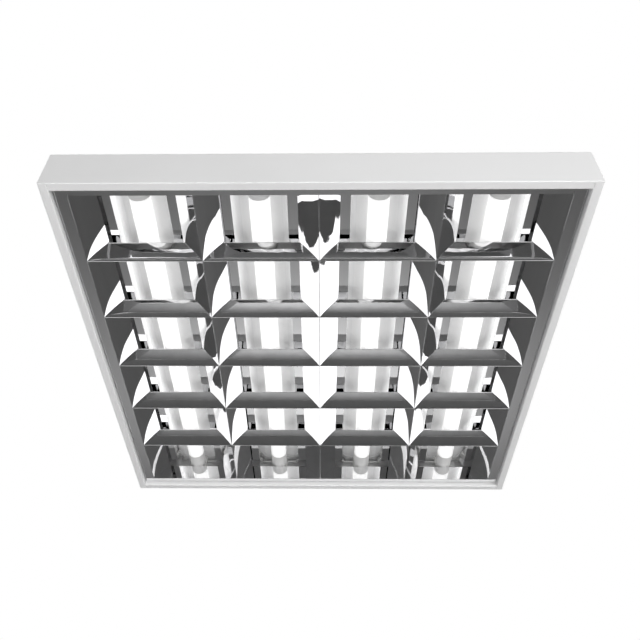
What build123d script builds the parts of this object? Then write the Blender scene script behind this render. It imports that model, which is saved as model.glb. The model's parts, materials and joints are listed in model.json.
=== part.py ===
from build123d import *
import math
import os

# Recessed troffer light for four straight tube lamps: a white sheet-steel housing, open below,
# with a mirror louvre of 4 by 6 cells that swings down on a hinge along its left side.
# Frame: origin at the centre of the bottom rim's plane, +X to the right, +Y to the rear, +Z up.
# The light shines down, towards -Z. All sizes are in millimetres.

# ---- driving dimensions ------------------------------------------------------------------------

# Housing
side_length = 620.0            # outside, both ways
height = 59.0
steel = 0.7                    # sheet thickness of frame and pan
rim_width = 10.5               # width of the rim seen from below
lip_height = 13.5              # upturned inner lip of the rim
bend_radius = 1.2              # outside radius of the rim's bends
top_flange = 14.0              # inward flange at the top of each side
butt_gap = 0.1                 # joint between two frame sides
pan_margin = 0.5               # the pan's edge lies this far inside the walls' outer faces

# Louvre
side_border = 26.0             # from the housing's outside to the lower edge of a side reflector
end_border = 21.4              # from the housing's outside to the face of an end reflector
blade_rows = 5
louvre_bottom = 7.0            # recess of the louvre's lower edge above the rim's plane
lamp_clearance = 0.6           # between the louvre's top and the lamps' caps
vee_half_width = 25.0          # of a V reflector, at its top
vee_start_tilt = 41.6          # degrees from vertical, at the lower edge
vee_bend = 0.5                 # share of the height at which the curve's end tangents meet
blade_drop = 0.8               # of the cross blades' top below the louvre's top
blade_half_width = 10.6
blade_start_tilt = 31.0
blade_bend = 0.24
mirror_sheet = 0.5             # aluminium, measured level across a flank
edge_flat = 0.6                # width of a folded lower edge
flange_gap = 2.2               # between the louvre's flange and the rim's lip
seam = 0.15                    # between louvre pieces that meet

# Upper reflectors between the lamps
channel_half_bottom = 37.5
channel_half_top = 46.0
channel_lift = 6.7             # between the louvre's top and a channel
channel_sheet = 0.5
channel_flange = 10.0
channel_end_gap = 14.0         # between a channel's end and the wall

# Lamps and lampholders
lamp_count = 4
lamp_drop = 13.4               # from the pan's underside to the lamp's axis
lamp_end_room = 15.0           # between a cap's face and the housing's outside
glass_radius = 12.8
glass_wall = 0.8
glass_end_round = 6.0
cap_radius = 13.0
cap_length = 32.0
cap_wall = 0.5
cap_seat = 25.0                # length of glass inside a cap
pin_spacing = 12.7
pin_radius = 1.17
pin_length = 7.1
pin_root = 2.0                 # length of pin inside the cap's end
holder_width = 26.8
holder_thickness = 12.8
holder_face_gap = 0.4          # between a lamp's cap and the lampholder
holder_slot = 3.2
rotor_radius = 9.7
rotor_thickness = 8.4
rotor_slot = 2.6
rotor_gap = 0.3                # around and behind a rotor
rotor_recess = 0.3             # rotor's face below the lampholder's face

# Control gear
gear_size = (40.0, 280.0, 19.0)
terminal_size = (20.0, 30.0, 18.0)
terminal_inset = 110.0         # of the terminal block's middle from the housing's outside
terminal_wire_hole = 1.6       # radius
wire_radius = 1.6
wire_bend = 8.0
wire_drop = 8.3                # from the pan's underside to the wires' axis
wire_offset = 16.0
lead_offset = 5.0
entry_inset = 65.0             # of the cable entry from the housing's outside
entry_hole = 11.0
grommet_bore = 8.0
grommet_lip = 2.5
grommet_lip_thickness = 1.5
grommet_clearance = 0.05
gear_screw_radius = 2.0
gear_screw_head = 3.6
gear_screw_head_height = 2.0
gear_lug = 10.0
gear_lug_thickness = 1.5

# Ceiling fixing holes in the pan
fixing_inset = 110.0           # from the front and rear of the housing
fixing_hole = 3.25

# Rivets
rivet_radius = 1.6
rivet_head = 3.2
rivet_head_height = 1.0
channel_rivet_inset = 50.0     # from the front and rear of the housing

# Louvre hinge, left side
hinge_inset = 18.5             # of the hinge axis from the housing's outside
hinge_height = 11.0
hinge_end_inset = 120.0        # of each hinge from the front or rear of the housing
hinge_pin_radius = 1.5
hinge_pin_gap = 0.05
knuckle_wall = 1.1
knuckle_length = 15.0
ear_gap = 0.3
ear_thickness = 1.0
ear_half_width = 2.4
ear_rise = 14.0
bracket_leg = 8.0
hinge_plate = 0.6
hinge_plate_width = 10.0
knuckle_web = 2.0

# Spring latches, right side
latch_end_inset = 120.0        # of each latch from the front or rear of the housing
latch_width = 10.0
latch_sheet = 0.5
latch_root_inset = 3.0         # the latch's insets count from the housing's outside
latch_root_height = 31.0
latch_bend_height = 28.5
latch_knee_inset = 9.1
latch_nose_inset = 16.8
latch_nose_height = 22.0
latch_toe_inset = 8.8
latch_toe_height = 16.0
striker_inset = 18.5
striker_sheet = 0.8
striker_reach = 4.0
striker_gap = 0.4              # above the latch's nose
striker_foot = 6.0
striker_width = 12.0
clip_grip = 2.0                # height of the clip's jaw below the spring's end
clip_gap = 0.5
clip_sheet = 0.8

# ---- places worked out from the driving dimensions -----------------------------------------------

half_side = side_length / 2
wall_inside = half_side - steel
lip_inside = half_side - rim_width
pan_under = height - steel
flange_under = pan_under - steel
lamp_height = pan_under - lamp_drop
wire_height = pan_under - wire_drop
louvre_top = lamp_height - cap_radius - lamp_clearance
blade_top = louvre_top - blade_drop
channel_bottom = louvre_top + channel_lift
flange_edge = lip_inside - flange_gap
side_edge = half_side - side_border
end_edge = half_side - end_border
lamp_pitch = 2 * side_edge / lamp_count
blade_pitch = 2 * end_edge / (blade_rows + 1)
cap_face = half_side - lamp_end_room
holder_face = cap_face + holder_face_gap
holder_back = holder_face + holder_thickness
channel_end = wall_inside - channel_end_gap
lamp_places = [lamp_pitch * (index - (lamp_count - 1) / 2) for index in range(lamp_count)]
vee_places = [lamp_pitch * index for index in (-1, 0, 1)]
louvre_sheet_top = louvre_bottom + mirror_sheet
rivet_line = half_side - top_flange / 2
channel_rivet_y = half_side - channel_rivet_inset
fixing_y = half_side - fixing_inset
terminal_y = half_side - terminal_inset
entry_y = half_side - entry_inset
hinge_x = hinge_inset - half_side
hinge_y = half_side - hinge_end_inset
striker_x = half_side - striker_inset
latch_y = half_side - latch_end_inset
latch_root_x = half_side - latch_root_inset

os.makedirs("parts", exist_ok=True)


# ---- helpers -------------------------------------------------------------------------------------


def block(low, high):
    """A box between two corners."""
    size = [b - a for a, b in zip(low, high)]
    middle = [(a + b) / 2 for a, b in zip(low, high)]
    return Pos(*middle) * Box(*size)


def rectangle(low, high):
    """A flat rectangle between two corners."""
    middle = [(a + b) / 2 for a, b in zip(low, high)]
    return Pos(*middle) * Rectangle(high[0] - low[0], high[1] - low[1])


def along_y(face, y_low, y_high):
    """Extrude a face drawn in X and Z between two places on Y."""
    plane = Plane(origin=(0, y_high, 0), x_dir=(1, 0, 0), z_dir=(0, -1, 0))
    return extrude(plane * face, amount=y_high - y_low)


def along_x(face, x_low, x_high):
    """Extrude a face drawn in Y and Z between two places on X."""
    plane = Plane(origin=(x_low, 0, 0), x_dir=(0, 1, 0), z_dir=(1, 0, 0))
    return extrude(plane * face, amount=x_high - x_low)


def rod_y(x, z, radius, y_low, y_high):
    """A round rod along Y."""
    return along_y(Pos(x, z) * Circle(radius), y_low, y_high)


def rod_z(x, y, radius, z_low, z_high):
    """A round rod along Z."""
    return Pos(x, y, (z_low + z_high) / 2) * Cylinder(radius, z_high - z_low)


def polygon(points):
    """A flat face with straight sides."""
    return make_face(Polyline(points, close=True))


def save(node, shape):
    """Write one sub-part."""
    shape.label = node
    export_step(shape, f"parts/{node}.step")


def group(pieces):
    """Separate solids that share one node."""
    solids = [solid for piece in pieces for solid in piece.solids()]
    return Compound(children=solids)


# ---- housing ---------------------------------------------------------------------------------------


def frame_section():
    """Section of one frame side, drawn for the side at +X: wall, rim, lip and top flange."""
    wall = rectangle((wall_inside, 0), (half_side, pan_under))
    rim = rectangle((lip_inside, 0), (half_side, steel))
    lip = rectangle((lip_inside, 0), (lip_inside + steel, lip_height))
    flange = rectangle((half_side - top_flange, flange_under), (half_side, pan_under))
    section = wall + rim + lip + flange
    outside = [(half_side, 0), (lip_inside, 0), (half_side, pan_under)]
    corners = [
        vertex
        for vertex in section.vertices()
        if any(math.dist((vertex.X, vertex.Y), corner) < steel / 2 for corner in outside)
    ]
    return fillet(corners, bend_radius)


def frame_rivet_places():
    """Places of the rivets along one frame side, between the lamps and beside the outer ones."""
    return [lamp_pitch * index - side_edge for index in range(lamp_count + 1)]


def frame_side_long():
    """The side at +X, which runs the whole length between the front and rear walls."""
    half_length = wall_inside - butt_gap
    side = along_y(frame_section(), -half_length, half_length)
    for y in frame_rivet_places():
        side -= rod_z(rivet_line, y, rivet_radius, flange_under - steel, height)
    return side


def frame_side_short():
    """The side at +Y: its wall spans the whole width, its rim and flange butt against the others."""
    side = along_x(frame_section(), -half_side, half_side)
    rim_end = lip_inside - butt_gap
    flange_end = half_side - top_flange - butt_gap
    inner = lip_inside - steel
    for direction in (-1, 1):
        rim_cut = block((rim_end, inner, -steel), (half_side + steel, wall_inside, lip_height + steel))
        flange_cut = block(
            (flange_end, half_side - top_flange - steel, flange_under - steel),
            (half_side + steel, wall_inside, height),
        )
        for cut in (rim_cut, flange_cut):
            side -= cut if direction > 0 else mirror(cut, about=Plane.YZ)
    for x in frame_rivet_places():
        side -= rod_z(x, rivet_line, rivet_radius, flange_under - steel, height)
    return side


def channel_rivet_places():
    """Places in X of the rivets that hold the upper reflectors' flanges."""
    inset = channel_half_top - channel_flange / 2
    centres = [(x, side) for x in vee_places for side in (-1, 1)]
    outer = [(-side_edge, 1), (side_edge, -1)]
    return [x + side * inset for x, side in centres + outer]


def frame_rivet_points():
    """All places of the rivets between the frame and the pan."""
    long_sides = [(direction * rivet_line, y) for direction in (-1, 1) for y in frame_rivet_places()]
    short_sides = [(x, direction * rivet_line) for direction in (-1, 1) for x in frame_rivet_places()]
    return long_sides + short_sides


def gear_screw_points():
    """Places of the screws that hold the control gear, and of the earth screw."""
    lug_y = gear_size[1] / 2 + gear_lug / 2
    return [(0, -lug_y), (0, lug_y), (terminal_size[0], terminal_y)]


def back_pan():
    """The white tray behind the lamps."""
    reach = half_side - pan_margin
    pan = block((-reach, -reach, pan_under), (reach, reach, height))
    low, high = pan_under - steel, height + steel
    for x, y in frame_rivet_points():
        pan -= rod_z(x, y, rivet_radius, low, high)
    for x in channel_rivet_places():
        for y in (-channel_rivet_y, channel_rivet_y):
            pan -= rod_z(x, y, rivet_radius, low, high)
    for x in (lamp_places[0], lamp_places[-1]):
        for y in (-fixing_y, fixing_y):
            pan -= rod_z(x, y, fixing_hole, low, high)
    for x, y in gear_screw_points():
        pan -= rod_z(x, y, gear_screw_radius, low, high)
    pan -= rod_z(0, entry_y, entry_hole, low, high)
    return pan


def rivet(x, y, head_top, top):
    """A blind rivet with its head below."""
    head = rod_z(x, y, rivet_head, head_top - rivet_head_height, head_top)
    return head + rod_z(x, y, rivet_radius, head_top - rivet_head_height, top)


frame_right = frame_side_long()
frame_rear = frame_side_short()
save("frame_right", frame_right)
save("frame_left", mirror(frame_right, about=Plane.YZ))
save("frame_rear", frame_rear)
save("frame_front", mirror(frame_rear, about=Plane.XZ))
save("back_pan", back_pan())
save("frame_rivets", group([rivet(x, y, flange_under, height) for x, y in frame_rivet_points()]))


# ---- upper reflectors ------------------------------------------------------------------------------


def channel(outer):
    """Mirror channel under the pan, between two lamps, or from the last lamp to the wall."""
    wall_reach = wall_inside - side_edge - pan_margin
    right_bottom = wall_reach if outer else channel_half_bottom
    right_top = wall_reach if outer else channel_half_top
    floor = channel_bottom + channel_sheet
    outside = polygon(
        [
            (-channel_half_top, pan_under),
            (-channel_half_bottom, channel_bottom),
            (right_bottom, channel_bottom),
            (right_top, pan_under),
        ]
    )
    right_inset = -channel_sheet if outer else channel_sheet
    inside = polygon(
        [
            (-channel_half_top + channel_sheet, pan_under),
            (-channel_half_bottom + channel_sheet, floor),
            (right_bottom - right_inset, floor),
            (right_top - right_inset, pan_under),
        ]
    )
    flange = rectangle(
        (-channel_half_top + channel_sheet / 2, pan_under - channel_sheet),
        (-channel_half_top + channel_flange, pan_under),
    )
    section = outside - inside + flange
    if not outer:
        section += mirror(flange, about=Plane.YZ)
    return along_y(section, -channel_end, channel_end)


def drill_channel(shape):
    """Cut the rivet holes of the upper reflectors."""
    for x in channel_rivet_places():
        for y in (-channel_rivet_y, channel_rivet_y):
            shape -= rod_z(x, y, rivet_radius, pan_under - 2 * channel_sheet, pan_under + steel)
    return shape


for name, x in zip(("left", "centre", "right"), vee_places):
    save(f"upper_reflector_{name}", drill_channel(Pos(x, 0, 0) * channel(False)))
outer_channel = drill_channel(Pos(side_edge, 0, 0) * channel(True))
save("upper_reflector_outer_right", outer_channel)
save("upper_reflector_outer_left", mirror(outer_channel, about=Plane.YZ))
channel_rivets = [
    rivet(x, y, pan_under - channel_sheet, height)
    for x in channel_rivet_places()
    for y in (-channel_rivet_y, channel_rivet_y)
]
save("reflector_rivets", group(channel_rivets))


# ---- louvre ----------------------------------------------------------------------------------------


def flared_section(half_width, start_tilt, bend, top, widen=0.0):
    """Filled section of a V: two curves from the lower edge up to its top."""
    low = edge_flat / 2 + widen
    high = half_width + widen
    rise = bend * (top - louvre_bottom)
    knee = (low + rise * math.tan(math.radians(start_tilt)), louvre_bottom + rise)
    right = Bezier((low, louvre_bottom), knee, (high, top))
    left = mirror(right, about=Plane.YZ)
    base = Line((-low, louvre_bottom), (low, louvre_bottom))
    lid = Line((-high, top), (high, top))
    return make_face([base, right, lid, left])


def folded_section(half_width, start_tilt, bend, top):
    """Section of the folded sheet whose outside is the flared section."""
    filled = flared_section(half_width, start_tilt, bend, top)
    hollow = (Pos(mirror_sheet, 0) * filled) & (Pos(-mirror_sheet, 0) * filled)
    return filled - hollow


def flank_cutter(x):
    """What a piece that meets the V flanks at x is trimmed by."""
    reach = end_edge + mirror_sheet
    section = flared_section(vee_half_width, vee_start_tilt, vee_bend, louvre_top, seam)
    return along_y(Pos(x, 0) * section, -reach, reach)


inner_end = end_edge - seam
vee_sheet = folded_section(vee_half_width, vee_start_tilt, vee_bend, louvre_top)
vee = along_y(vee_sheet, -inner_end, inner_end)
for name, x in zip(("left", "centre", "right"), vee_places):
    save(f"vee_{name}", Pos(x, 0, 0) * vee)


def side_reflector():
    """Outer reflector at +X: half a V, with a level flange that runs out to the rim's lip."""
    half = Pos(side_edge, 0, 0) * vee
    half -= block((side_edge, -side_length, 0), (side_edge + vee_half_width, side_length, height))
    flange_start = side_edge - mirror_sheet
    flange = block((flange_start, -flange_edge, louvre_bottom), (flange_edge, flange_edge, louvre_sheet_top))
    return half + flange


def end_reflector():
    """End reflector at +Y: an upright mirror with a level flange that runs out to the rim's lip."""
    width = side_edge
    outside = end_edge + mirror_sheet
    plate = block((-width, end_edge, louvre_bottom), (width, outside, louvre_top))
    for x in (-side_edge, side_edge):
        plate -= flank_cutter(x)
    flange_half = side_edge - mirror_sheet - seam
    flange = block((-flange_half, end_edge, louvre_bottom), (flange_half, flange_edge, louvre_sheet_top))
    return plate + flange


def cross_blades(y):
    """One row of cross blades: a separate V-shaped blade in each lamp's column."""
    section = folded_section(blade_half_width, blade_start_tilt, blade_bend, blade_top)
    blades = []
    for x in lamp_places:
        low, high = x - lamp_pitch / 2, x + lamp_pitch / 2
        blade = along_x(section, low, high)
        blade = Pos(0, y, 0) * (blade - flank_cutter(low) - flank_cutter(high))
        blades.append(blade)
    return group(blades)


side_right = side_reflector()
end_rear = end_reflector()
save("side_reflector_right", side_right)
save("side_reflector_left", mirror(side_right, about=Plane.YZ))
save("end_reflector_rear", end_rear)
save("end_reflector_front", mirror(end_rear, about=Plane.XZ))
for row in range(blade_rows):
    save(f"cross_blades_{row + 1}", cross_blades(blade_pitch * (row - (blade_rows - 1) / 2)))


# ---- lamps and lampholders ---------------------------------------------------------------------------

glass_end = cap_face - cap_length + cap_seat


def lamp_tube(x):
    """Thin glass tube with rounded ends, its ends inside the caps."""
    outside = rod_y(0, 0, glass_radius, -glass_end, glass_end)
    outside = fillet(outside.edges().filter_by(GeomType.CIRCLE), glass_end_round)
    inner_end_y = glass_end - glass_wall
    inside = rod_y(0, 0, glass_radius - glass_wall, -inner_end_y, inner_end_y)
    inside = fillet(inside.edges().filter_by(GeomType.CIRCLE), glass_end_round - glass_wall)
    return Pos(x, 0, lamp_height) * (outside - inside)


def lamp_cap(x):
    """Plastic cap on the rear end of a lamp."""
    bore = glass_radius + cap_wall / 10
    cap = rod_y(0, 0, cap_radius, cap_face - cap_length, cap_face)
    cap -= rod_y(0, 0, bore, cap_face - cap_length, glass_end + cap_wall)
    for side in (-1, 1):
        cap -= rod_y(side * pin_spacing / 2, 0, pin_radius, cap_face - pin_root, cap_face)
    return Pos(x, 0, lamp_height) * cap


def lamp_pin(x, side):
    """One contact pin on the rear end of a lamp."""
    return rod_y(x + side * pin_spacing / 2, lamp_height, pin_radius, cap_face - pin_root, cap_face + pin_length)


def lamp_rotor(x):
    """Slotted rotor that grips the pins and turns with the lamp."""
    face = holder_face + rotor_recess
    rotor = rod_y(x, lamp_height, rotor_radius, face, face + rotor_thickness)
    slot = block(
        (x - rotor_radius, face, lamp_height - rotor_slot / 2),
        (x + rotor_radius, cap_face + pin_length + rotor_gap, lamp_height + rotor_slot / 2),
    )
    return rotor - slot


def lampholder(x):
    """White holder on the rear wall, with a round recess for the rotor and a slot for the pins."""
    radius = holder_width / 2
    bottom = Pos(x, lamp_height) * Circle(radius)
    upper = rectangle((x - radius, lamp_height), (x + radius, height))
    below_flange = rectangle((x - radius, 0), (x + radius, flange_under))
    body = along_y((bottom + upper) & below_flange, holder_face, holder_back)
    recess_end = holder_face + rotor_recess + rotor_thickness + rotor_gap
    body -= rod_y(x, lamp_height, rotor_radius + rotor_gap, holder_face, recess_end)
    body -= block(
        (x - holder_slot / 2, holder_face, lamp_height - holder_width),
        (x + holder_slot / 2, recess_end, lamp_height),
    )
    return body


def both_ends(piece):
    """A rear piece and its mirror image at the front."""
    return [piece, mirror(piece, about=Plane.XZ)]


for number, x in enumerate(lamp_places, start=1):
    save(f"lamp_tube_{number}", lamp_tube(x))
    save(f"lamp_caps_{number}", group(both_ends(lamp_cap(x))))
    pins = both_ends(lamp_pin(x, -1)) + both_ends(lamp_pin(x, 1))
    save(f"lamp_pins_{number}", group(pins))
    save(f"lamp_rotors_{number}", group(both_ends(lamp_rotor(x))))
    rear_holder, front_holder = both_ends(lampholder(x))
    save(f"lampholder_rear_{number}", rear_holder)
    save(f"lampholder_front_{number}", front_holder)


# ---- control gear ------------------------------------------------------------------------------------

gear_width, gear_length, gear_depth = gear_size
lug_under = pan_under - gear_lug_thickness


def ballast():
    """Electronic control gear in the centre channel, with a fixing lug at each end."""
    half = gear_width / 2
    body = block((-half, -gear_length / 2, pan_under - gear_depth), (half, gear_length / 2, pan_under))
    body = fillet(body.edges().filter_by(Axis.Y).sort_by(Axis.Z)[:2], steel * 2)
    reach = gear_length / 2 + gear_lug
    lug_half = gear_lug / 2
    body += block((-lug_half, -reach, lug_under), (lug_half, reach, pan_under))
    for x, y in gear_screw_points()[:2]:
        body -= rod_z(x, y, gear_screw_radius, lug_under - steel, pan_under + steel)
    return body


def terminal_block():
    """Mains terminal block with a row of wire holes through it."""
    width, length, depth = terminal_size
    low = (-width / 2, terminal_y - length / 2, pan_under - depth)
    high = (width / 2, terminal_y + length / 2, pan_under)
    body = block(low, high)
    for x in (-lead_offset, 0, lead_offset):
        body -= rod_y(x, wire_height - lead_offset, terminal_wire_hole, low[1], high[1])
    return body


def grommet():
    """Ring that lines the cable entry, flush with the pan's outside."""
    collar = rod_z(0, entry_y, entry_hole - grommet_clearance, pan_under - grommet_lip_thickness, height)
    lip = rod_z(0, entry_y, entry_hole + grommet_lip, pan_under - grommet_lip_thickness, pan_under)
    bore = rod_z(0, entry_y, grommet_bore, pan_under - 2 * grommet_lip_thickness, height + steel)
    return collar + lip - bore


def gear_screw(x, y, head_top):
    """Screw from below, flush with the pan's outside."""
    head = rod_z(x, y, gear_screw_head, head_top - gear_screw_head_height, head_top)
    return head + rod_z(x, y, gear_screw_radius, head_top - gear_screw_head_height, height)


def lamp_wires():
    """Wires from the control gear to the lampholders along the rear wall, and on to the outer ones."""
    run_y = (holder_face + holder_back) / 2
    start_y = gear_length / 2
    wires = []
    for side in (-1, 1):
        inner_lamp = lamp_pitch / 2 - holder_width / 2
        route = FilletPolyline(
            [
                (side * wire_offset, start_y, wire_height),
                (side * wire_offset, run_y, wire_height),
                (side * inner_lamp, run_y, wire_height),
            ],
            radius=wire_bend,
        )
        wires.append(sweep(Plane(route @ 0, z_dir=route % 0) * Circle(wire_radius), route))
        link_low = lamp_pitch / 2 + holder_width / 2
        link_high = lamp_pitch * 3 / 2 - holder_width / 2
        link = along_x(Pos(run_y, wire_height) * Circle(wire_radius), link_low, link_high)
        wires.append(link if side > 0 else mirror(link, about=Plane.YZ))
    return wires


def mains_leads():
    """Leads from the terminal block to the control gear."""
    low = gear_length / 2
    high = terminal_y - terminal_size[1] / 2
    return [rod_y(side * lead_offset, wire_height, wire_radius, low, high) for side in (-1, 1)]


rear_wires = lamp_wires()
front_wires = [mirror(wire, about=Plane.XZ) for wire in rear_wires]
save("internal_wiring", group(rear_wires + front_wires + mains_leads()))
save("ballast", ballast())
save("terminal_block", terminal_block())
save("cable_grommet", grommet())
gear_screws = [gear_screw(x, y, lug_under) for x, y in gear_screw_points()[:2]]
gear_screws += [gear_screw(x, y, pan_under) for x, y in gear_screw_points()[2:]]
save("gear_screws", group(gear_screws))


# ---- louvre hinge ------------------------------------------------------------------------------------

ear_inside = knuckle_length / 2 + ear_gap
ear_outside = ear_inside + ear_thickness


def hinge_bracket(y):
    """Bracket on the left wall: a plate with two ears that reach down to the hinge pin."""
    top = hinge_height + ear_rise
    low, high = y - ear_outside, y + ear_outside
    leg_inside = ear_thickness - wall_inside
    bracket = block((-wall_inside, low, top), (hinge_x + ear_half_width, high, top + ear_thickness))
    bracket += block((-wall_inside, low, top), (leg_inside, high, top + bracket_leg))
    for side in (-1, 1):
        y_low = y + min(side * ear_inside, side * ear_outside)
        strip = rectangle((hinge_x - ear_half_width, hinge_height), (hinge_x + ear_half_width, top))
        ear = strip + Pos(hinge_x, hinge_height) * Circle(ear_half_width)
        ear -= Pos(hinge_x, hinge_height) * Circle(hinge_pin_radius)
        bracket += along_y(ear, y_low, y_low + ear_thickness)
    return bracket


def hinge_knuckle(y):
    """Knuckle on the louvre's flange, between the bracket's ears."""
    bore = hinge_pin_radius + hinge_pin_gap
    ring = Pos(hinge_x, hinge_height) * Circle(bore + knuckle_wall)
    web = rectangle((hinge_x - knuckle_web / 2, louvre_sheet_top), (hinge_x + knuckle_web / 2, hinge_height))
    foot = rectangle(
        (hinge_x - hinge_plate_width / 2, louvre_sheet_top),
        (hinge_x + hinge_plate_width / 2, louvre_sheet_top + hinge_plate),
    )
    section = ring + web + foot - Pos(hinge_x, hinge_height) * Circle(bore)
    return along_y(section, y - knuckle_length / 2, y + knuckle_length / 2)


def hinge_pin(y):
    """Pin held in the bracket's ears."""
    return rod_y(hinge_x, hinge_height, hinge_pin_radius, y - ear_outside, y + ear_outside)


hinge_places = (-hinge_y, hinge_y)
save("hinge_brackets", group([hinge_bracket(y) for y in hinge_places]))
save("hinge_knuckles", group([hinge_knuckle(y) for y in hinge_places]))
save("hinge_pins", group([hinge_pin(y) for y in hinge_places]))


# ---- spring latches ----------------------------------------------------------------------------------


def latch_spring(y):
    """Leaf spring that hangs from the right wall, with a nose under the striker's hook."""
    line = Polyline(
        [
            (latch_root_x, latch_root_height),
            (latch_root_x, latch_bend_height),
            (half_side - latch_knee_inset, latch_nose_height),
            (half_side - latch_nose_inset, latch_nose_height),
            (half_side - latch_toe_inset, latch_toe_height),
        ]
    )
    section = make_face(offset(line, amount=latch_sheet / 2, side=Side.BOTH, closed=True))
    return along_y(section, y - latch_width / 2, y + latch_width / 2)


def latch_clip(y):
    """Clip on the right wall that holds the top of a leaf spring."""
    low = latch_root_height - clip_grip
    high = latch_root_height + clip_gap + clip_sheet
    inner = latch_root_x - latch_sheet / 2 - clip_gap - clip_sheet
    half = latch_width / 2
    clip = block((inner, y - half, low), (inner + clip_sheet, y + half, high))
    clip += block((inner, y - half, high - clip_sheet), (wall_inside, y + half, high))
    return clip


def striker(y):
    """Hook on the louvre's flange that rests on the latch's nose."""
    hook_under = latch_nose_height + latch_sheet / 2 + striker_gap
    upright_low = striker_x - striker_sheet
    half = striker_width / 2
    piece = block((upright_low, y - half, louvre_sheet_top), (striker_x, y + half, hook_under + striker_sheet))
    piece += block((upright_low, y - half, hook_under),
                   (striker_x + striker_reach, y + half, hook_under + striker_sheet))
    piece += block((striker_x - striker_foot, y - half, louvre_sheet_top),
                   (striker_x, y + half, louvre_sheet_top + striker_sheet))
    return piece


latch_places = (("front", -latch_y), ("rear", latch_y))
for name, y in latch_places:
    save(f"latch_spring_{name}", latch_spring(y))
save("latch_clips", group([latch_clip(y) for name, y in latch_places]))
save("latch_strikers", group([striker(y) for name, y in latch_places]))
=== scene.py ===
import json
import math

import bpy
from mathutils import Matrix, Vector


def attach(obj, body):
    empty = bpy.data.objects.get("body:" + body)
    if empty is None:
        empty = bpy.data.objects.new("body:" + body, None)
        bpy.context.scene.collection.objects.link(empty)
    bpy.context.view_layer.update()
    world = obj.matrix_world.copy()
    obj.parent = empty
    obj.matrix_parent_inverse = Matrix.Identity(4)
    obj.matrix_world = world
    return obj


# Looks of the recessed troffer light. The solids come from the frame and keep their shapes; this script
# gives them materials, rounds the folded edges of the mirror sheets, and sets the studio up.
# Frame: origin at the centre of the bottom rim's plane, +X right, +Y to the rear, +Z up, in metres.

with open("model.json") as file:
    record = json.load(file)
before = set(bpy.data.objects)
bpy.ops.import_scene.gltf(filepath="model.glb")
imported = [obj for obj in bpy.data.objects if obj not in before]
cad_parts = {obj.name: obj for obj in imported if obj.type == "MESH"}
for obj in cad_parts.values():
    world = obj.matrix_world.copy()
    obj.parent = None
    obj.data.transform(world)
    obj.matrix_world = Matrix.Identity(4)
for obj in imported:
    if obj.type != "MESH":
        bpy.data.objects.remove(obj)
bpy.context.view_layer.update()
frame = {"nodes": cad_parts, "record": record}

scene = bpy.context.scene
scene.view_settings.view_transform = "Standard"

WHITE = (1, 1, 1, 1)


# ---- shader nodes ------------------------------------------------------------------------------------

NOISE_LOW = 0.3            # a noise value mostly lies between these
NOISE_HIGH = 0.7


def material(name):
    """A node material with a Principled shader and an object-space coordinate."""
    made = bpy.data.materials.new(name)
    made.use_nodes = True
    tree = made.node_tree
    tree.nodes.clear()
    output = tree.nodes.new("ShaderNodeOutputMaterial")
    shader = tree.nodes.new("ShaderNodeBsdfPrincipled")
    tree.links.new(shader.outputs[0], output.inputs["Surface"])
    place = tree.nodes.new("ShaderNodeTexCoord")
    return made, tree, shader, place.outputs["Object"]


def stretched(tree, place, scale):
    """The place multiplied by a scale on each axis."""
    mapping = tree.nodes.new("ShaderNodeMapping")
    mapping.inputs["Scale"].default_value = scale
    tree.links.new(place, mapping.inputs["Vector"])
    return mapping.outputs[0]


def noise(tree, place, scale, detail=3.0):
    """A noise value around 0.5."""
    node = tree.nodes.new("ShaderNodeTexNoise")
    node.inputs["Scale"].default_value = scale
    node.inputs["Detail"].default_value = detail
    node.inputs["Roughness"].default_value = 0.5
    tree.links.new(place, node.inputs["Vector"])
    return node.outputs[0]


def spread(tree, value, low, high):
    """A noise value mapped from its usual reach to low and high."""
    node = tree.nodes.new("ShaderNodeMapRange")
    node.inputs["From Min"].default_value = NOISE_LOW
    node.inputs["From Max"].default_value = NOISE_HIGH
    node.inputs["To Min"].default_value = low
    node.inputs["To Max"].default_value = high
    tree.links.new(value, node.inputs["Value"])
    return node.outputs[0]


def two_tone(tree, value, first, second):
    """A colour between two, by a noise value."""
    ramp = tree.nodes.new("ShaderNodeValToRGB")
    ramp.color_ramp.elements[0].position = NOISE_LOW
    ramp.color_ramp.elements[0].color = (*first, 1)
    ramp.color_ramp.elements[1].position = NOISE_HIGH
    ramp.color_ramp.elements[1].color = (*second, 1)
    tree.links.new(value, ramp.inputs[0])
    return ramp.outputs[0]


def bump(tree, shader, value, distance):
    """Relief from a value, in metres."""
    node = tree.nodes.new("ShaderNodeBump")
    node.inputs["Distance"].default_value = distance
    node.inputs["Strength"].default_value = 1.0
    tree.links.new(value, node.inputs["Height"])
    tree.links.new(node.outputs[0], shader.inputs["Normal"])


# ---- materials ---------------------------------------------------------------------------------------

# Patches, sheen, grain, streaks and waves are noise scales; a relief is a depth in metres.
GRAIN_DETAIL = 2.0
STREAK_DETAIL = 4.0
PAINT_PATCHES = 7.0
PAINT_SHEEN = 60.0
PAINT_GRAIN = 900.0
PAINT_RELIEF = 0.00002
PAINT_ROUGHNESS = (0.34, 0.46)
PLASTIC_PATCHES = 30.0
PLASTIC_SHEEN = 120.0
PLASTIC_GRAIN = 1200.0
PLASTIC_RELIEF = 0.00001
MIRROR_STREAKS = 60.0
MIRROR_STRETCH = (1, 0.06, 1)
MIRROR_WAVES = 12.0
MIRROR_RELIEF = 0.00005
GLASS_STREAKS = 35.0
GLASS_STRETCH = (1, 0.15, 1)
LAMP_GLOW = 0.6


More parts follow.
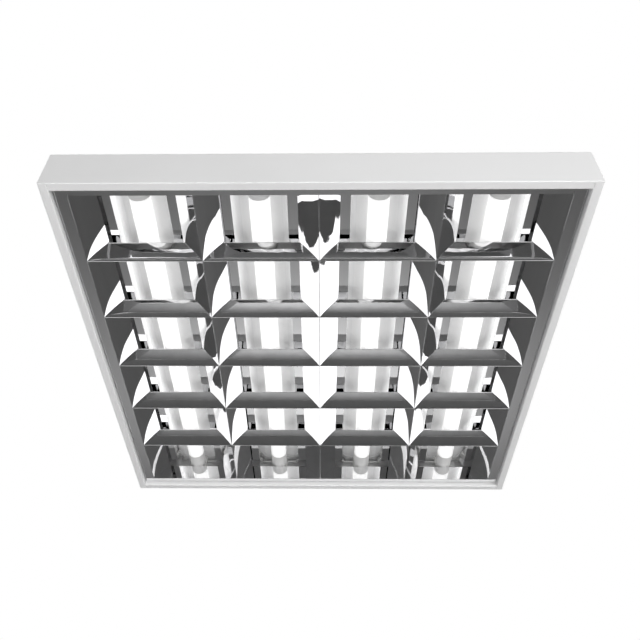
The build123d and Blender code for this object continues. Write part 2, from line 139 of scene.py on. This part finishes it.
def painted(name, first, second):
    """Powder coat: a fine orange-peel relief and a faint unevenness of tone."""
    made, tree, shader, place = material(name)
    colour = two_tone(tree, noise(tree, place, PAINT_PATCHES), first, second)
    tree.links.new(colour, shader.inputs["Base Color"])
    sheen = spread(tree, noise(tree, place, PAINT_SHEEN), *PAINT_ROUGHNESS)
    tree.links.new(sheen, shader.inputs["Roughness"])
    bump(tree, shader, noise(tree, place, PAINT_GRAIN, GRAIN_DETAIL), PAINT_RELIEF)
    return made


def metal(name, first, second, rough, stretch=(1, 1, 1), grain=40.0):
    """Metal with streaks along its rolling direction."""
    made, tree, shader, place = material(name)
    shader.inputs["Metallic"].default_value = 1.0
    lines = noise(tree, stretched(tree, place, stretch), grain, STREAK_DETAIL)
    tree.links.new(two_tone(tree, lines, first, second), shader.inputs["Base Color"])
    tree.links.new(spread(tree, lines, *rough), shader.inputs["Roughness"])
    return made


def mirror_metal():
    """Bright anodised sheet: streaks along the rolling direction and a slight waviness."""
    made, tree, shader, place = material("mirror_aluminium")
    shader.inputs["Metallic"].default_value = 1.0
    lines = noise(tree, stretched(tree, place, MIRROR_STRETCH), MIRROR_STREAKS, STREAK_DETAIL)
    colour = two_tone(tree, lines, (0.90, 0.90, 0.905), (0.95, 0.95, 0.955))
    tree.links.new(colour, shader.inputs["Base Color"])
    tree.links.new(spread(tree, lines, 0.01, 0.03), shader.inputs["Roughness"])
    bump(tree, shader, noise(tree, place, MIRROR_WAVES, 0.0), MIRROR_RELIEF)
    return made


def plastic(name, first, second, rough):
    """Moulded plastic or rubber."""
    made, tree, shader, place = material(name)
    colour = two_tone(tree, noise(tree, place, PLASTIC_PATCHES), first, second)
    tree.links.new(colour, shader.inputs["Base Color"])
    sheen = spread(tree, noise(tree, place, PLASTIC_SHEEN), *rough)
    tree.links.new(sheen, shader.inputs["Roughness"])
    bump(tree, shader, noise(tree, place, PLASTIC_GRAIN, GRAIN_DETAIL), PLASTIC_RELIEF)
    return made


def lamp_glass():
    """White coated glass, with a faint glow of its own from the light scattered in the coating."""
    made, tree, shader, place = material("lamp_glass")
    lines = noise(tree, stretched(tree, place, GLASS_STRETCH), GLASS_STREAKS)
    colour = two_tone(tree, lines, (0.90, 0.90, 0.89), (0.94, 0.94, 0.93))
    tree.links.new(colour, shader.inputs["Base Color"])
    tree.links.new(spread(tree, lines, 0.12, 0.18), shader.inputs["Roughness"])
    shader.inputs["Emission Color"].default_value = WHITE
    shader.inputs["Emission Strength"].default_value = LAMP_GLOW
    shader.inputs["Coat Weight"].default_value = 0.5
    shader.inputs["Coat Roughness"].default_value = 0.05
    return made


materials = {
    "white_paint": painted("white_paint", (0.86, 0.86, 0.86), (0.89, 0.89, 0.89)),
    "mirror_aluminium": mirror_metal(),
    "rivet_aluminium": metal("rivet_aluminium", (0.62, 0.63, 0.64), (0.72, 0.73, 0.74), (0.3, 0.42)),
    "lamp_glass": lamp_glass(),
    "lamp_cap_plastic": plastic("lamp_cap_plastic", (0.74, 0.74, 0.735), (0.80, 0.80, 0.79), (0.3, 0.42)),
    "contact_brass": metal("contact_brass", (0.62, 0.55, 0.38), (0.72, 0.66, 0.48), (0.2, 0.3)),
    "holder_plastic": plastic("holder_plastic", (0.84, 0.84, 0.82), (0.88, 0.88, 0.86), (0.35, 0.45)),
    "wire_sleeve": plastic("wire_sleeve", (0.80, 0.80, 0.79), (0.85, 0.85, 0.84), (0.4, 0.5)),
    "gear_case": painted("gear_case", (0.80, 0.80, 0.79), (0.84, 0.84, 0.83)),
    "terminal_plastic": plastic("terminal_plastic", (0.80, 0.80, 0.78), (0.84, 0.84, 0.82), (0.4, 0.5)),
    "grommet_rubber": plastic("grommet_rubber", (0.025, 0.025, 0.026), (0.045, 0.045, 0.046), (0.6, 0.75)),
    "plated_steel": metal("plated_steel", (0.52, 0.52, 0.51), (0.64, 0.64, 0.63), (0.28, 0.42), grain=120.0),
    "spring_steel": metal("spring_steel", (0.38, 0.38, 0.38), (0.48, 0.48, 0.48), (0.22, 0.34),
                          stretch=(0.1, 1, 1), grain=200.0),
}

slot_of = {entry["node"]: entry["material_slot"] for entry in frame["record"]["subparts"]}
for node, thing in frame["nodes"].items():
    for index in range(len(thing.material_slots)):
        thing.material_slots[index].material = materials[slot_of[node]]


# ---- rounded edges of the folded mirror sheets -------------------------------------------------------

LAMP_PITCH = 0.142         # between the lamps, and so between the V reflectors
BLADE_PITCH = 0.0962       # between the rows of cross blades
LAMPS = 4
BLADE_ROWS = 5
ROLL_RADIUS = 0.00045
ROLL_HEIGHT = 0.0073       # of the lower folds' axes above the rim's plane
ROLL_SIDES = 12
DOME_STEPS = (-0.75, -0.35, 0.0)   # the rings of a domed end, as shares of the radius from the straight part
FOLD_REACH = 0.2884        # from the middle to the ends of the V reflectors' folds
FOLD_SETBACK = 0.0012      # of a blade's fold from the V reflectors' middle planes
HEM_LEAN = 0.0103          # from a blade's middle plane to its upper edges
HEM_REACH = 0.0464         # from a cell's middle to the ends of a blade's upper edges
HEM_HEIGHT = 0.0301


def edge_roll(name, start, end):
    """Rounded edge of a sheet: a slim rod with domed ends."""
    start, end = Vector(start), Vector(end)
    line = (end - start).normalized()
    side = line.cross(Vector((0, 0, 1)))
    rings = []
    for share in DOME_STEPS:
        rings.append((start + line * (ROLL_RADIUS * share), math.sqrt(1 - share * share)))
    rings += [(end - (point - start), size) for point, size in reversed(rings)]
    verts, faces = [], []
    for point, size in rings:
        for step in range(ROLL_SIDES):
            angle = 2 * math.pi * step / ROLL_SIDES
            offset = side * math.cos(angle) + Vector((0, 0, 1)) * math.sin(angle)
            verts.append(tuple(point + offset * ROLL_RADIUS * size))
    for ring in range(len(rings) - 1):
        for step in range(ROLL_SIDES):
            first = ring * ROLL_SIDES + step
            second = ring * ROLL_SIDES + (step + 1) % ROLL_SIDES
            faces.append((first, second, second + ROLL_SIDES, first + ROLL_SIDES))
    faces.append(tuple(reversed(range(ROLL_SIDES))))
    faces.append(tuple(range(len(verts) - ROLL_SIDES, len(verts))))
    mesh = bpy.data.meshes.new(name)
    mesh.from_pydata(verts, [], faces)
    mesh.update()
    mesh.polygons.foreach_set("use_smooth", [True] * len(mesh.polygons))
    mesh.materials.append(materials["mirror_aluminium"])
    thing = bpy.data.objects.new(name, mesh)
    scene.collection.objects.link(thing)
    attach(thing, "louvre")


def blade_rolls(row, column):
    """The lower fold and the two upper edges of one cross blade."""
    middle_x = (column - (LAMPS - 1) / 2) * LAMP_PITCH
    middle_y = (row - BLADE_ROWS // 2) * BLADE_PITCH
    reach_x = LAMP_PITCH / 2 - FOLD_SETBACK
    edge_roll(f"blade_fold_{row + 1}_{column + 1}", (middle_x - reach_x, middle_y, ROLL_HEIGHT),
              (middle_x + reach_x, middle_y, ROLL_HEIGHT))
    for side, side_name in ((-1, "front"), (1, "rear")):
        hem_y = middle_y + side * HEM_LEAN
        edge_roll(f"blade_hem_{row + 1}_{column + 1}_{side_name}", (middle_x - HEM_REACH, hem_y, HEM_HEIGHT),
                  (middle_x + HEM_REACH, hem_y, HEM_HEIGHT))


for number in range(LAMPS - 1):
    vee_x = (number - (LAMPS - 2) // 2) * LAMP_PITCH
    edge_roll(f"vee_fold_{number + 1}", (vee_x, -FOLD_REACH, ROLL_HEIGHT), (vee_x, FOLD_REACH, ROLL_HEIGHT))
for row in range(BLADE_ROWS):
    for column in range(LAMPS):
        blade_rolls(row, column)


# ---- floor and world ---------------------------------------------------------------------------------

FLOOR_REACH = 250.0
FLOOR_HEIGHT = -2.6
FADE_START = 70.0          # the floor fades into the white world between these distances
FADE_END = 240.0
FLOOR_PATCHES = 0.7
SKY_LEVEL = 0.055          # strength of the world for scattered light


def seen_directly(tree):
    """1 where the camera, a mirror or a clear piece looks at a background, and 0 for scattered light."""
    path = tree.nodes.new("ShaderNodeLightPath")
    either = tree.nodes.new("ShaderNodeMath")
    either.operation = "MAXIMUM"
    any_of = tree.nodes.new("ShaderNodeMath")
    any_of.operation = "MAXIMUM"
    tree.links.new(path.outputs["Is Camera Ray"], either.inputs[0])
    tree.links.new(path.outputs["Is Glossy Ray"], either.inputs[1])
    tree.links.new(either.outputs[0], any_of.inputs[0])
    tree.links.new(path.outputs["Is Transmission Ray"], any_of.inputs[1])
    return any_of.outputs[0]


def fade_by_distance(tree):
    """0 near the object, rising to 1 at the floor's far edge."""
    place = tree.nodes.new("ShaderNodeNewGeometry")
    distance = tree.nodes.new("ShaderNodeVectorMath")
    distance.operation = "LENGTH"
    tree.links.new(place.outputs["Position"], distance.inputs[0])
    fade = tree.nodes.new("ShaderNodeMapRange")
    fade.inputs["From Min"].default_value = FADE_START
    fade.inputs["From Max"].default_value = FADE_END
    tree.links.new(distance.outputs["Value"], fade.inputs["Value"])
    return fade.outputs["Result"]


def floor_paint():
    """Pale floor that turns into the white background far away."""
    made, tree, shader, place = material("floor_paint")
    colour = two_tone(tree, noise(tree, place, FLOOR_PATCHES), (0.78, 0.78, 0.78), (0.82, 0.82, 0.82))
    tree.links.new(colour, shader.inputs["Base Color"])
    shader.inputs["Roughness"].default_value = 0.9
    white = tree.nodes.new("ShaderNodeEmission")
    white.inputs["Color"].default_value = WHITE
    share = tree.nodes.new("ShaderNodeMath")
    share.operation = "MULTIPLY"
    tree.links.new(seen_directly(tree), share.inputs[0])
    tree.links.new(fade_by_distance(tree), share.inputs[1])
    faded = tree.nodes.new("ShaderNodeMixShader")
    tree.links.new(share.outputs[0], faded.inputs[0])
    tree.links.new(shader.outputs[0], faded.inputs[1])
    tree.links.new(white.outputs[0], faded.inputs[2])
    output = next(node for node in tree.nodes if node.bl_idname == "ShaderNodeOutputMaterial")
    tree.links.new(faded.outputs[0], output.inputs["Surface"])
    return made


floor_mesh = bpy.data.meshes.new("floor")
corners = [(-FLOOR_REACH, -FLOOR_REACH, 0), (FLOOR_REACH, -FLOOR_REACH, 0),
           (FLOOR_REACH, FLOOR_REACH, 0), (-FLOOR_REACH, FLOOR_REACH, 0)]
floor_mesh.from_pydata(corners, [], [(0, 1, 2, 3)])
floor = bpy.data.objects.new("floor", floor_mesh)
floor.location = (0, 0, FLOOR_HEIGHT)
scene.collection.objects.link(floor)
floor_mesh.materials.append(floor_paint())

world = bpy.data.worlds.new("studio")
scene.world = world
world.use_nodes = True
tree = world.node_tree
tree.nodes.clear()
sky_output = tree.nodes.new("ShaderNodeOutputWorld")
sky_mix = tree.nodes.new("ShaderNodeMixShader")
dim = tree.nodes.new("ShaderNodeBackground")
dim.inputs["Color"].default_value = WHITE
dim.inputs["Strength"].default_value = SKY_LEVEL
bright = tree.nodes.new("ShaderNodeBackground")
bright.inputs["Color"].default_value = WHITE
bright.inputs["Strength"].default_value = 1.0
tree.links.new(seen_directly(tree), sky_mix.inputs[0])
tree.links.new(dim.outputs[0], sky_mix.inputs[1])
tree.links.new(bright.outputs[0], sky_mix.inputs[2])
tree.links.new(sky_mix.outputs[0], sky_output.inputs["Surface"])


# ---- lights ------------------------------------------------------------------------------------------


def softbox(name, place, target, size, watts, spread_angle, mirrored):
    """A soft area light that points at a target, with its spread in degrees, seen in the mirrors or not."""
    light = bpy.data.lights.new(name, "AREA")
    light.shape = "RECTANGLE"
    light.size, light.size_y = size
    light.energy = watts
    light.spread = math.radians(spread_angle)
    thing = bpy.data.objects.new(name, light)
    scene.collection.objects.link(thing)
    thing.location = place
    thing.rotation_euler = (Vector(target) - Vector(place)).to_track_quat("-Z", "Y").to_euler()
    thing.visible_glossy = mirrored
    thing.visible_camera = False


softbox("key_light", (1.0, -2.1, -0.55), (0, 0, 0), (1.6, 1.2), 8.8, 80, False)
softbox("back_light", (0.55, 1.4, 1.9), (0, 0.1, 0), (1.4, 1.0), 5.0, 40, False)
softbox("right_light", (1.31, -0.53, -1.69), (0, 0, 0), (2.1, 2.05), 20.0, 180, True)
softbox("left_light", (-1.31, -0.53, -1.69), (0, 0, 0), (2.1, 2.05), 18.0, 180, True)
softbox("floor_light", (0, 3.3, -1.2), (0, 3.3, -2.6), (1.4, 0.8), 14.0, 140, False)


# ---- camera ------------------------------------------------------------------------------------------

CAMERA_PLACE = (0.00447, -0.75262, -0.65840)
CAMERA_TILT = 44.0502      # degrees above the level
CAMERA_TURN = -1.5025      # degrees from +Y towards +X
CAMERA_ROLL = 1.0349
SENSOR_WIDTH = 36.0        # millimetres, like the lens
CAMERA_LENS = 40.063
CAMERA_SHIFT = (0.01647, 0.02192)

tilt, turn, roll = (math.radians(angle) for angle in (CAMERA_TILT, CAMERA_TURN, CAMERA_ROLL))
forward = Vector((math.sin(turn) * math.cos(tilt), math.cos(turn) * math.cos(tilt), math.sin(tilt)))
level = Vector((math.cos(turn), -math.sin(turn), 0))
upright = level.cross(forward)
right = level * math.cos(roll) + upright * math.sin(roll)
up = upright * math.cos(roll) - level * math.sin(roll)
camera_data = bpy.data.cameras.new("camera")
camera_data.sensor_width = SENSOR_WIDTH
camera_data.lens = CAMERA_LENS
camera_data.shift_x, camera_data.shift_y = CAMERA_SHIFT
camera_data.clip_start = 0.01
camera = bpy.data.objects.new("camera", camera_data)
scene.collection.objects.link(camera)
axes = Matrix((right, up, -forward)).transposed().to_4x4()
camera.matrix_world = Matrix.Translation(CAMERA_PLACE) @ axes
scene.camera = camera
